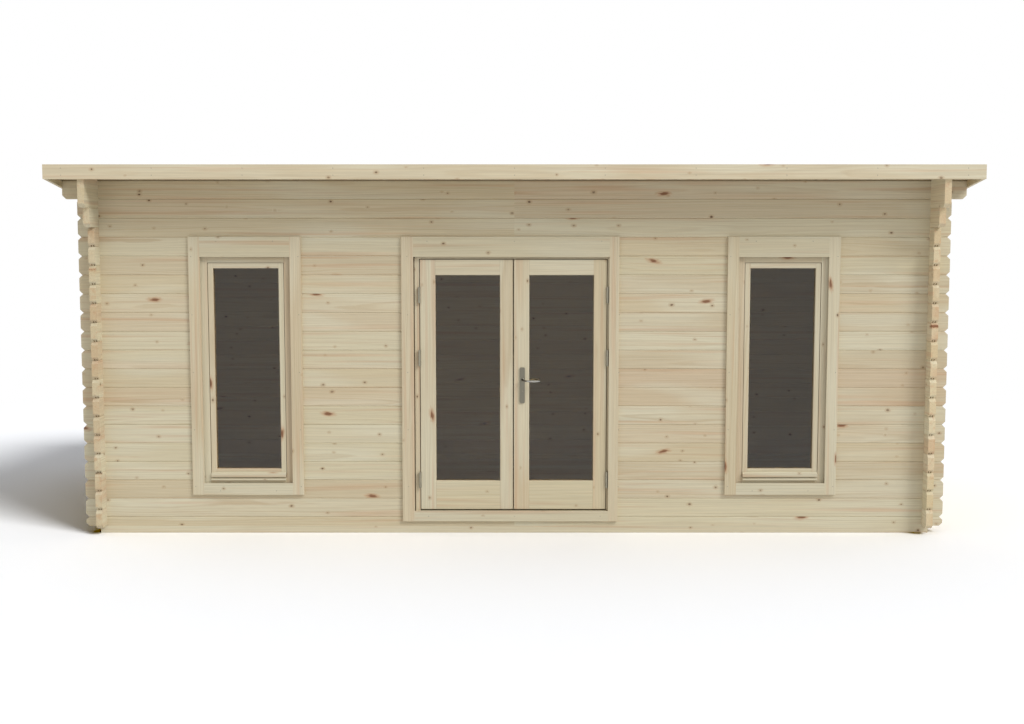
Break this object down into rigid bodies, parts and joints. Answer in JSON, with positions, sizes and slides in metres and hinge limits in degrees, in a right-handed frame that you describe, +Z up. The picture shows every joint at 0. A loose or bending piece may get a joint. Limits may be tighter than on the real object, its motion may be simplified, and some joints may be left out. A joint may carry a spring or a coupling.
{
  "type": "garden office pod",
  "caption": "Log-built garden office with interlocking corners, a roof sloping to the back, glazed double doors and two tall windows.",
  "frame": {"origin": "on the ground under the middle of the roof", "axes": "+X to the right of someone facing the doors, +Y from the front to the back, +Z up"},
  "size_m": [6.24, 3.312, 2.5395],
  "materials": {
    "wall_logs": "planed, unfinished spruce",
    "floor_boards": "planed, unfinished spruce",
    "bearer_timber": "sawn, pressure treated",
    "roof_boards": "planed, unfinished spruce",
    "roof_edge_boards": "planed, unfinished spruce",
    "roof_felt": "mineral surfaced bitumen felt",
    "joinery": "planed, unfinished spruce",
    "trim_boards": "planed, unfinished spruce",
    "glass": "clear float, dark room behind",
    "hinge_steel": "zinc plated",
    "handle_steel": "satin stainless"
  },
  "bodies": {
    "cabin": {"foundation_bearers": "bearer_timber", "floor_joists": "bearer_timber", "floor_boards": "floor_boards", "front_wall_left": "wall_logs", "front_wall_right": "wall_logs", "front_wall_over_door": "wall_logs", "front_wall_under_door": "wall_logs", "front_top_log": "wall_logs", "back_wall": "wall_logs", "back_top_log": "wall_logs", "side_wall_left": "wall_logs", "side_wall_right": "wall_logs", "lower_corbel_log_left": "wall_logs", "lower_corbel_log_right": "wall_logs", "upper_corbel_log_left": "wall_logs", "upper_corbel_log_right": "wall_logs", "roof_purlins": "wall_logs", "roof_deck": "roof_boards", "roof_felt": "roof_felt", "fascia_front": "roof_edge_boards", "fascia_back": "roof_edge_boards", "barge_board_left": "roof_edge_boards", "barge_board_right": "roof_edge_boards", "frame_hinges_left": "hinge_steel", "frame_hinges_right": "hinge_steel", "door_jambs": "joinery", "door_head": "joinery", "door_threshold": "joinery", "door_trim_sides": "trim_boards", "door_trim_head": "trim_boards", "door_trim_sill": "trim_boards", "window_frames": "joinery", "window_sashes": "joinery", "window_glass": "glass", "window_weather_bars": "joinery", "window_trim_sides": "trim_boards", "window_trim_heads": "trim_boards", "window_trim_sills": "trim_boards"},
    "left_door": {"door_leaf_left": "joinery", "door_glass_left": "glass", "leaf_hinges_left": "hinge_steel"},
    "right_door": {"door_leaf_right": "joinery", "door_glass_right": "glass", "leaf_hinges_right": "hinge_steel", "handle_plates": "handle_steel"},
    "lever": {"door_lever": "handle_steel"}
  },
  "joints": [
    {"name": "left_door_hinge", "type": "hinge", "parent": "cabin", "child": "left_door", "pos_m": [-0.658, -1.358, 1], "axis": [0, 0, -1], "range_deg": [0, 110]},
    {"name": "right_door_hinge", "type": "hinge", "parent": "cabin", "child": "right_door", "pos_m": [0.644, -1.358, 1], "axis": [0, 0, 1], "range_deg": [0, 110]},
    {"name": "lever_turn", "type": "hinge", "parent": "right_door", "child": "lever", "pos_m": [0.055, -1.349, 1.078], "axis": [0, 1, 0], "range_deg": [0, 40], "stiffness_Nm_per_rad": 1.5, "springref_deg": -22.92}
  ]
}
